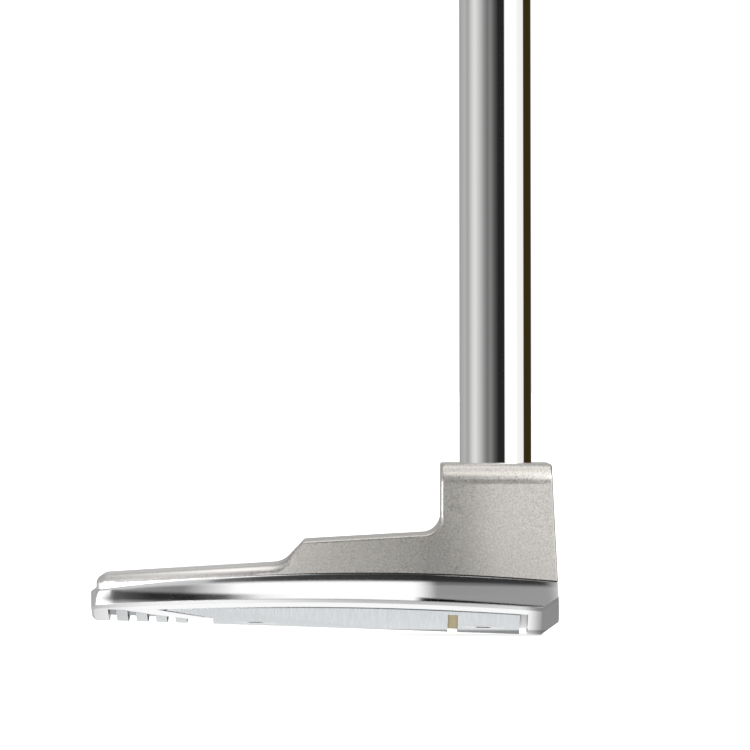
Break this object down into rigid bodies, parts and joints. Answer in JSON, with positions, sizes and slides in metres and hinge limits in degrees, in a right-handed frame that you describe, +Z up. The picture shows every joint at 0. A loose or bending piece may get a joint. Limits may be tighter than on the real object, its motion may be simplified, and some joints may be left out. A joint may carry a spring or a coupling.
{
  "type": "mallet putter",
  "caption": "Centre-shafted mid-mallet putter with a thick topline, stepped flange, polished sole frame, brushed sole plate and a rubber grip.",
  "frame": {"origin": "on the ground under the shaft's plane, at the middle of the head, on the sole's lowest level", "axes": "+X the way the face points (the target), -Y the toe, +Y the heel and the player, +Z up"},
  "size_m": [0.0651, 0.3575, 0.8143],
  "materials": {
    "blasted_steel": "bead-blasted, fine grain",
    "polished_steel": "mirror polished",
    "brushed_aluminium": "fine heel-toe brushing",
    "damper_polymer": "matte elastomer",
    "screw_steel": "plain zinc",
    "tungsten": "sintered, machined",
    "sight_paint": "matte paint fill",
    "shaft_chrome": "bright chrome plate",
    "epoxy": "cured adhesive",
    "plug_plastic": "moulded",
    "tape": "paper tape",
    "grip_rubber": "matte, fine texture",
    "cap_rubber": "smooth, satin"
  },
  "bodies": {
    "root": {"head_body": "blasted_steel", "sole_frame": "polished_steel", "sole_plate": "brushed_aluminium", "sole_damper": "damper_polymer", "rear_rib_plate": "brushed_aluminium", "sole_plate_screws": "screw_steel", "frame_screws": "screw_steel", "rear_plate_screws": "screw_steel", "toe_weight": "tungsten", "heel_weight": "tungsten", "sight_line": "sight_paint", "shaft": "shaft_chrome", "shaft_epoxy": "epoxy", "shaft_tip_plug": "plug_plastic", "grip_tape": "tape", "grip": "grip_rubber", "grip_cap": "cap_rubber"}
  },
  "joints": []
}
